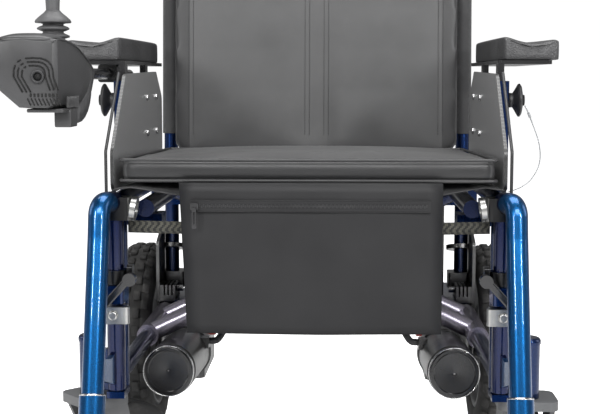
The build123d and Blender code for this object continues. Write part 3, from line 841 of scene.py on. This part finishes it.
def makeJoystick():
    # The control box is lofted along its length: the lower shell, the rim line and the raised cover.
    look = {"stations": ((-0.1865, -0.322, -0.262, 0.626, 0.562), (-0.183, -0.326, -0.257, 0.6295, 0.558),
                         (-0.150, -0.327, -0.253, 0.628, 0.5565), (-0.110, -0.327, -0.2505, 0.621, 0.557),
                         (-0.060, -0.3255, -0.250, 0.607, 0.562), (-0.020, -0.321, -0.2515, 0.595, 0.570),
                         (-0.012, -0.316, -0.257, 0.592, 0.576)),
            "taper": 0.034, "coverRise": 0.0125, "rim": 0.0011}
    shell = bmesh.new()
    rings = []
    for y, left, right, top, low in look["stations"]:
        waist = (right - left) * 0.5
        outline = [(left, top), (left + 0.002, low + 0.022), (left + look["taper"] * 0.8, low),
                   (right - waist * 0.35, low - 0.0005), (right - 0.004, low + 0.004),
                   (right, low + 0.024), (right, top), (left + (right - left) * 0.75, top + 0.0012),
                   (left + (right - left) * 0.5, top + 0.0026),
                   (left + (right - left) * 0.25, top + 0.0018)]
        rings.append([at(x, y, z) for x, z in outline])
    loft(shell, rings)
    sharp = [e for e in shell.edges if e.is_manifold and e.calc_face_angle(0) > 0.6]
    bmesh.ops.bevel(shell, geom=sharp, offset=0.0012, segments=2, profile=0.5, affect="EDGES", material=-1,
                    clamp_overlap=True)
    addPiece("controlBox", shell, "joystick", "boxPlastic", stands=("joystick_housing",))
    cover = bmesh.new()
    rings = []
    for y, left, right, top, low in look["stations"]:
        rise = look["coverRise"] * max(0.15, math.sin((y + 0.195) / 0.19 * math.pi) ** 0.5)
        span = right - left
        outline = [(left + 0.001, top + 0.0004)]
        for u in (0.06, 0.18, 0.32, 0.5, 0.68, 0.82, 0.94):
            outline.append((left + span * u, top + rise * (1 - (2 * u - 1) ** 4)))
        outline.append((right - 0.001, top + 0.0004))
        rings.append([at(x, y, z) for x, z in outline])
    loft(cover, rings)
    addPiece("controlCover", cover, "joystick", "boxPlastic", levels=1)
    for side in (0, 1):
        line = [at(row[1 + side], row[0], row[3] + 0.0003) for row in look["stations"]]
        mesh = tubeMesh("controlRim", line, look["rim"])
        addMesh("controlRim", mesh, "joystick", "boxPlastic")
    makeVents()
    makeJoystickSocket()
    makeStick()


def loft(bm, rings):
    # Closed outlines bridged one after another, with both ends filled.
    made = []
    for ring in rings:
        verts = [bm.verts.new(p) for p in ring]
        edges = [bm.edges.new((a, b)) for a, b in zip(verts, verts[1:] + verts[:1])]
        made.append((verts, edges))
    for first, second in zip(made, made[1:]):
        bmesh.ops.bridge_loops(bm, edges=first[1] + second[1])
    for verts, edges in (made[0], made[-1]):
        bmesh.ops.contextual_create(bm, geom=edges)


def makeVents():
    # Three nested arched slots round the round socket, a row of short slots and the fins below them.
    look = {"x": -0.2820, "z": 0.5905, "front": -0.1869, "slot": 0.0009, "lean": 0.56}
    dark = bmesh.new()
    for size in (0.0125, 0.0168, 0.0211):
        outline = []
        for k in range(13):
            angle = math.pi * (1.0 - k / 12)
            across, up = math.cos(angle), math.sin(angle)
            outline.append((look["x"] + math.copysign(abs(across) ** 0.7, across) * size,
                            look["z"] + up ** 0.7 * size * 0.92))
        foot = look["z"] - 0.0165
        lowLeft = (outline[0][0] + look["lean"] * 0.0165, foot)
        lowRight = (outline[-1][0] + look["lean"] * 0.0085, foot + 0.002)
        path = [lowLeft] + outline + [lowRight]
        for i, (a, b) in enumerate(zip(path, path[1:])):
            if i in (3, 5):
                continue
            addRod(dark, at(a[0], look["front"], a[1]), at(b[0], look["front"], b[1]), look["slot"],
                   segments=8)
    for i in range(8):
        x = -0.2865 + i * 0.0040
        addBlock(dark, at(x, look["front"] - 0.0006, 0.5690),
                 at(x + 0.0021, look["front"] + 0.001, 0.5728), 0.0005)
    for i in range(9):
        x = -0.2890 + i * 0.0040
        addRod(dark, at(x, look["front"], 0.5675), at(x + 0.0035, look["front"], 0.5600), 0.0007, segments=8)
    # The slots are near-black pieces laid on the face: painted shade.
    addPiece("controlVents", dark, "joystick", "gapShade")
    fins = bmesh.new()
    for i in range(9):
        y = -0.166 + i * 0.0062
        addBlock(fins, at(-0.2528, y, 0.5575), at(-0.2500, y + 0.0022, 0.5695), 0.0005)
    addPiece("controlFins", fins, "joystick", "boxPlastic")


def makeJoystickSocket():
    ring = bmesh.new()
    profile = [(0.0, 0.0042), (0.0026, 0.0046), (0.0032, 0.0062), (0.0026, 0.0072), (0.0, 0.0074),
               (-0.002, 0.0074), (-0.002, 0.0042)]
    addTurned(ring, profile, at(-0.2775, -0.1866, 0.5905), (0, -1, 0))
    addPiece("chargePort", ring, "joystick", "blackPlastic")
    pin = bmesh.new()
    addTurned(pin, [(-0.002, 0), (0.0004, 0), (0.0004, 0.0041), (-0.002, 0.0043)],
              at(-0.2775, -0.1866, 0.5905), (0, -1, 0))
    for k in range(3):
        angle = math.tau * k / 3 + 0.5
        c = at(-0.2775 + 0.002 * math.cos(angle), -0.187, 0.5905 + 0.002 * math.sin(angle))
        addRod(pin, c, c + Vector((0, -0.0012, 0)), 0.0005, segments=10)
    # The socket's floor and pins are near-black: painted shade inside the socket.
    addPiece("chargePins", pin, "joystick", "gapShade")
    plug = bmesh.new()
    addBlock(plug, at(-0.270, -0.150, 0.5358), at(-0.2515, -0.118, 0.556), 0.0018, 3)
    addBlock(plug, at(-0.293, -0.176, 0.5525), at(-0.2535, -0.060, 0.5565), 0.0012)
    rings = []
    for k in range(7):
        angle = math.pi / 2 * k / 6
        y, z = -0.118 + 0.070 * math.sin(angle), 0.5395 + 0.040 * (1 - math.cos(angle))
        half = 0.009 + 0.003 * math.sin(angle)
        rings.append([at(-0.2535 - half, y, z), at(-0.2535 - half, y, z + 0.018),
                      at(-0.2535 + half * 0.3, y, z + 0.018), at(-0.2535 + half * 0.3, y, z)])
    loft(plug, rings)
    addPiece("controlPlug", plug, "joystick", "boxPlastic")


def makeStick():
    # A waisted knob on a rubber bellows with a mushroom top.
    look = {"centre": (-0.288, -0.070)}
    x, y = look["centre"]
    knob = bmesh.new()
    profile = [(0.655, 0.0), (0.655, 0.0075), (0.668, 0.0076), (0.680, 0.0083), (0.693, 0.0092),
               (0.706, 0.0094), (0.718, 0.0089), (0.728, 0.0074), (0.7345, 0.0045), (0.7358, 0.0)]
    addTurned(knob, profile, at(x, y, 0), (0, 0, 1))
    addPiece("stickKnob", knob, "joystick_stick", "greyRubber", levels=1,
             stands=("joystick_stick",))
    boot = bmesh.new()
    profile = [(0.6655, 0.0), (0.6655, 0.0078), (0.6625, 0.0105), (0.6585, 0.0155), (0.6545, 0.0198),
               (0.6525, 0.0206), (0.6512, 0.0200), (0.6510, 0.0150), (0.6500, 0.0118), (0.6485, 0.0118),
               (0.6470, 0.0160), (0.6455, 0.0182), (0.6440, 0.0182), (0.6425, 0.0150), (0.6415, 0.0118),
               (0.6400, 0.0118), (0.6385, 0.0150), (0.6370, 0.0185), (0.6350, 0.0185), (0.6335, 0.0130),
               (0.6180, 0.0118), (0.6180, 0.0)]
    addTurned(boot, profile, at(x, y, 0), (0, 0, 1))
    addPiece("stickBoot", boot, "joystick_stick", "greyRubber")
    ball = bmesh.new()
    addTurned(ball, [(-0.007, 0), (-0.005, 0.0045), (0, 0.0068), (0.005, 0.0045), (0.007, 0)],
              at(x, y, 0.608), (0, 0, 1))
    addPiece("stickBall", ball, "joystick_gimbal", "gripRubber", levels=1,
             stands=("joystick_gimbal",))


def makeArmKnob(side):
    # A flared pull knob on its neck, with the end cap that holds the lanyard.
    label = sideLabel(side)
    bm = bmesh.new()
    profile = [(0.2573, 0.0), (0.2573, 0.0095), (0.2605, 0.0095), (0.2625, 0.0092), (0.2645, 0.0120),
               (0.2680, 0.0180), (0.2700, 0.0212), (0.2718, 0.0215), (0.2735, 0.0190), (0.2750, 0.0120),
               (0.2752, 0.0050), (0.2765, 0.0050), (0.2765, 0.0070), (0.2780, 0.0070), (0.2782, 0.0)]
    addTurned(bm, [(h, r) for h, r in profile], (0, hingeY + 0.137, 0.560), (side, 0, 0))
    addTurned(bm, [(0.2515, 0.0), (0.2515, 0.0038), (0.2578, 0.0038), (0.2578, 0.0)],
              (0, hingeY + 0.137, 0.560), (side, 0, 0))
    addPiece(f"{label}PullKnob", bm, f"{label}_arm_lock", "blackPlastic",
             stands=(f"{label}_arm_lock_knob",))


def makeLanyard():
    look = {"route": ((0.279, 0.137, 0.553), (0.283, 0.137, 0.546), (0.290, 0.136, 0.528),
                      (0.299, 0.134, 0.504), (0.300, 0.130, 0.478), (0.288, 0.127, 0.456),
                      (0.272, 0.126, 0.445), (0.258, 0.126, 0.441)), "radius": 0.0008}
    points = [at(*p) for p in look["route"]]
    curve = bpy.data.curves.new("lanyard", "CURVE")
    curve.dimensions = "3D"
    curve.bevel_depth = look["radius"]
    curve.bevel_resolution = 3
    curve.resolution_u = 16
    curve.use_fill_caps = True
    line = curve.splines.new("NURBS")
    line.points.add(len(points) - 1)
    for point, place in zip(line.points, points):
        point.co = (*place, 1)
    line.order_u = 3
    line.use_endpoint_u = True
    curve.materials.append(finishes["clearWire"])
    cord = bpy.data.objects.new("lanyard", curve)
    bpy.context.scene.collection.objects.link(cord)
    bpy.context.view_layer.update()
    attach(cord, "left_arm_lock")
    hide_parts("lock_lanyard")
    bm = bmesh.new()
    addRod(bm, at(0.2838, 0.137, 0.5438), at(0.2862, 0.1367, 0.5377), 0.0016, segments=16)
    sleeve = addPiece("lanyardCrimp", bm, "left_arm_lock", "clearWire")


def makeGuardTrim(side):
    # A dark rolled edge along the front of the woven side guard.
    label = sideLabel(side)
    x = side * 0.2445
    line = [at(x, y, z) for y, z in ((0.0012, 0.4515), (0.0012, 0.475), (0.0012, 0.5005), (0.030, 0.5295),
                                     (0.062, 0.5615), (0.0958, 0.595))]
    mesh = tubeMesh(f"{label}GuardTrim", line, 0.0020, order=2)
    addMesh(f"{label}GuardTrim", mesh, frameBody(side), "blackPlastic")


def makeDriveWheel(side):
    # A moulded five-spoke rim and a block-tread tyre, spun round the axle.
    label = sideLabel(side)
    centre = Vector((side * 0.28375, 0.3255, 0.159))
    look = {"spokes": 5, "blocks": 34, "halfWidth": 0.0285, "outer": 0.1545}
    rim = bmesh.new()
    h = 0.024
    barrel = [(-h, 0.1085), (-h - 0.0015, 0.1035), (-h + 0.004, 0.0985), (-0.006, 0.0955),
              (0.006, 0.0955), (h - 0.004, 0.0985), (h + 0.0015, 0.1035), (h, 0.1085),
              (h - 0.003, 0.1050), (-h + 0.003, 0.1050)]
    addTurned(rim, barrel, centre, (side, 0, 0), 64)
    hub = [(-0.0255, 0.0088), (-0.0255, 0.024), (-0.020, 0.028), (-0.004, 0.031), (0.012, 0.031),
           (0.026, 0.027), (0.0295, 0.022), (0.0295, 0.0088)]
    addTurned(rim, hub, centre, (side, 0, 0), 48)
    for k in range(look["spokes"]):
        turn = Matrix.Rotation(math.tau * k / look["spokes"], 4, "X")
        spoke = bmesh.new()
        addBlock(spoke, (-0.0075, -0.013, 0.026), (0.0095, 0.013, 0.099), 0.0035, 2)
        for v in spoke.verts:
            v.co.y *= 1 + 0.5 * abs(v.co.z - 0.062) / 0.037
        addPart(rim, spoke, Matrix.Translation(centre) @ turn)
    addTurned(rim, [(0.0295, 0), (0.0335, 0), (0.0335, 0.014), (0.0295, 0.016)], centre, (side, 0, 0), 32)
    addPiece(f"{label}DriveRim", rim, f"{label}_drive_wheel", "greyPlastic",
             stands=(f"{label}_drive_rim",))
    tyre = bmesh.new()
    w, r = look["halfWidth"], look["outer"]
    carcass = [(-0.0215, 0.1055), (-0.0262, 0.112), (-w + 0.0005, 0.124), (-w + 0.0005, 0.138),
               (-w + 0.004, 0.148), (-0.014, r - 0.001), (0, r), (0.014, r - 0.001), (w - 0.004, 0.148),
               (w - 0.0005, 0.138), (w - 0.0005, 0.124), (0.0262, 0.112), (0.0215, 0.1055)]
    addTurned(tyre, carcass, centre, (side, 0, 0), 96)
    for k in range(look["blocks"]):
        for row, (x, high, wide, long) in enumerate(((-0.0215, 0.1545, 0.010, 0.0075),
                                                     (-0.0085, 0.1587, 0.0105, 0.0080),
                                                     (0.0085, 0.1587, 0.0105, 0.0080),
                                                     (0.0215, 0.1545, 0.010, 0.0075))):
            angle = math.tau * (k + (row % 2) * 0.5) / look["blocks"]
            block = bmesh.new()
            addBlock(block, (-wide / 2, -long, high - 0.008), (wide / 2, long, high), 0.0009, 1)
            tilt = -0.55 * (1 if x > 0 else -1) if row in (0, 3) else 0.0
            place = (Matrix.Translation(centre) @ Matrix.Rotation(angle, 4, "X")
                     @ Matrix.Translation((x, 0, 0)) @ Matrix.Translation((0, 0, high))
                     @ Matrix.Rotation(-tilt, 4, "Y")
                     @ Matrix.Translation((0, 0, -high)))
            addPart(tyre, block, place)
    addPiece(f"{label}DriveTyre", tyre, f"{label}_drive_wheel", "tyreRubber",
             stands=(f"{label}_drive_tyre",))


def makeCasterWheel(side):
    # A solid ribbed tyre on a closed hub; the wheel on the far side is turned under its stem.
    label = sideLabel(side)
    spin = next(j for j in frame["joints"] if j["name"] == f"{label}_caster_spin")
    centre, axis = Vector(spin["pos_m"]), Vector(spin["axis"])
    h = 0.021
    hub = bmesh.new()
    addTurned(hub, [(-h, 0.0054), (-h, 0.017), (-0.012, 0.021), (-0.0065, 0.026), (-0.0055, 0.050),
                    (-0.015, 0.056), (-0.0155, 0.0625), (0.0155, 0.0625), (0.015, 0.056), (0.0055, 0.050),
                    (0.0065, 0.026), (0.012, 0.021), (h, 0.017), (h, 0.0054)], centre, axis, 56)
    addPiece(f"{label}CasterHub", hub, f"{label}_caster_wheel", "greyPlastic",
             stands=(f"{label}_caster_wheel",))
    tyre = bmesh.new()
    ribs = [(-0.015, 0.062), (-0.019, 0.068), (-0.0195, 0.079), (-0.0165, 0.0845), (-0.0125, 0.0872),
            (-0.0105, 0.0874), (-0.0098, 0.0858), (-0.0072, 0.0858), (-0.0065, 0.0886), (-0.0012, 0.0889),
            (-0.0007, 0.0874), (0.0007, 0.0874), (0.0012, 0.0889), (0.0065, 0.0886), (0.0072, 0.0858),
            (0.0098, 0.0858), (0.0105, 0.0874), (0.0125, 0.0872), (0.0165, 0.0845), (0.0195, 0.079),
            (0.019, 0.068), (0.015, 0.062)]
    addTurned(tyre, ribs, centre, axis, 72)
    addPiece(f"{label}CasterTyre", tyre, f"{label}_caster_wheel", "tyreRubber")


def makeGrip(side):
    # A ribbed push handle.
    label = sideLabel(side)
    start, end = at(side * 0.235, 0.571, 0.9188), at(side * 0.235, 0.6628, 0.9127)
    length = (end - start).length
    profile = [(0.0, 0.0114), (0.0, 0.0148), (0.0022, 0.0158)]
    for k in range(13):
        along = 0.006 + k * 0.0062
        profile += [(along, 0.0158), (along + 0.0012, 0.0140), (along + 0.0030, 0.0140),
                    (along + 0.0042, 0.0158)]
    profile += [(length - 0.004, 0.0159), (length - 0.001, 0.0140), (length, 0.0105), (length, 0.0)]
    bm = bmesh.new()
    addTurned(bm, profile[::-1] + [(0.0875, 0.0), (0.0875, 0.0114)], start, end - start, 40)
    addPiece(f"{label}PushGrip", bm, frameBody(side), "gripRubber",
             stands=(f"{label}_push_grip",))


motor = {"x": 0.195, "y": 0.160, "z": 0.190, "slope": 5.0}


def makeMotorRing(side):
    # The bright ring round the motor's dished end cap.
    label = sideLabel(side)
    slope = math.radians(motor["slope"])
    axis = Vector((0, math.cos(slope), -math.sin(slope)))
    bm = bmesh.new()
    ring = [(0.0012, 0.0336), (0.0012, 0.0348), (0.0060, 0.0352), (0.0060, 0.0340)]
    addTurned(bm, ring, at(side * motor["x"], motor["y"], motor["z"]), axis, 64)
    addPiece(f"{label}MotorRing", bm, frameBody(side), "zincSteel")


def makeSleeveRing(side):
    # The bright edge where the footrest sleeve meets the hanger tube.
    label = sideLabel(side)
    low = at(side * 0.246, -0.0935, 0.2245)
    axis = Vector((0, -0.287, -1)).normalized()
    bm = bmesh.new()
    addTurned(bm, [(-0.0012, 0.0134), (-0.0012, 0.0150), (0.0006, 0.0155), (0.0010, 0.0152),
                   (0.0006, 0.0134)], low, axis, 48)
    addPiece(f"{label}SleeveRing", bm, f"{label}_footrest_sleeve", "zincSteel")


for side in (-1, 1):
    makeArmPad(side)
    makeArmKnob(side)
    makeGuardTrim(side)
    makeDriveWheel(side)
    makeCasterWheel(side)
    makeGrip(side)
    makeSleeveRing(side)
    makeMotorRing(side)
print("side pieces made")
makeJoystick()
makeLanyard()
makeStrap()
makeCushion()
makeSling()
makePouch()
print("seat made")
makeBackrest()
print("back made")


def makeStage():
    look = {"size": 14.0}
    bm = bmesh.new()
    bmesh.ops.create_grid(bm, x_segments=2, y_segments=2, size=look["size"])
    mesh = bpy.data.meshes.new("floor")
    bm.to_mesh(mesh)
    bm.free()
    floor = bpy.data.objects.new("floor", mesh)
    bpy.context.scene.collection.objects.link(floor)
    material = bpy.data.materials.new("paleFloor")
    material.use_nodes = True
    shader = material.node_tree.nodes["Principled BSDF"]
    shader.inputs["Base Color"].default_value = (0.93, 0.93, 0.93, 1)
    shader.inputs["Roughness"].default_value = 0.6
    glow = material.node_tree.nodes.new("ShaderNodeLightPath")
    lift = mathNode(material.node_tree, "MULTIPLY", glow.outputs["Is Camera Ray"], 0.9)
    shader.inputs["Emission Color"].default_value = (1, 1, 1, 1)
    wire(material.node_tree, lift, shader.inputs["Emission Strength"])
    mesh.materials.append(material)


def areaLight(name, place, aim, size, power):
    data = bpy.data.lights.new(name, "AREA")
    data.shape = "RECTANGLE"
    data.size, data.size_y = size
    data.energy = power
    lamp = bpy.data.objects.new(name, data)
    lamp.location = place
    lamp.rotation_euler = (Vector(aim) - Vector(place)).to_track_quat("-Z", "Y").to_euler()
    bpy.context.scene.collection.objects.link(lamp)


def makeLights():
    # White to look at, dimmer as a light, so that round shapes keep dark edges.
    # Two strips draw the tubes' highlights.
    world = bpy.data.worlds.new("studio")
    world.use_nodes = True
    tree = world.node_tree
    back = tree.nodes["Background"]
    back.inputs["Color"].default_value = (1, 1, 1, 1)
    sight = tree.nodes.new("ShaderNodeLightPath")
    strength = mathNode(tree, "MULTIPLY_ADD", sight.outputs["Is Camera Ray"], 0.80, 0.22)
    tree.links.new(strength, back.inputs["Strength"])
    bpy.context.scene.world = world
    bpy.context.scene.view_settings.view_transform = "Standard"
    areaLight("stripLeft", (-1.45, -2.15, 1.35), (-0.2, 0, 0.4), (0.06, 0.6), 22)
    areaLight("stripRight", (1.55, -2.15, 1.35), (0.2, 0, 0.4), (0.06, 0.6), 22)
    areaLight("front", (0.2, -2.9, 2.5), (0, 0, 0.5), (2.6, 1.2), 100)
    areaLight("top", (0, 0.1, 3.0), (0, 0, 0.4), (2.6, 1.6), 72)
    areaLight("leftSide", (-2.8, 0.2, 1.5), (0, 0.1, 0.5), (1.2, 1.6), 14)
    areaLight("rightSide", (2.8, 0.2, 1.5), (0, 0.1, 0.5), (1.2, 1.6), 14)


def makeCamera():
    # A low, near view from straight ahead, a touch to the chair's right.
    look = {"lens": 72.0, "sensor": 36.0, "height": 0.59, "x": 0.040, "ahead": 1.44, "pitch": 6.18,
            "yaw": 1.957}
    data = bpy.data.cameras.new("camera")
    data.lens = look["lens"]
    data.sensor_width = look["sensor"]
    data.clip_start = 0.02
    camera = bpy.data.objects.new("camera", data)
    camera.location = at(look["x"], -look["ahead"], look["height"])
    camera.rotation_euler = (math.radians(90 - look["pitch"]), 0, math.radians(look["yaw"]))
    bpy.context.scene.collection.objects.link(camera)
    bpy.context.scene.camera = camera


makeStage()
makeLights()
makeCamera()
print("stage ready")
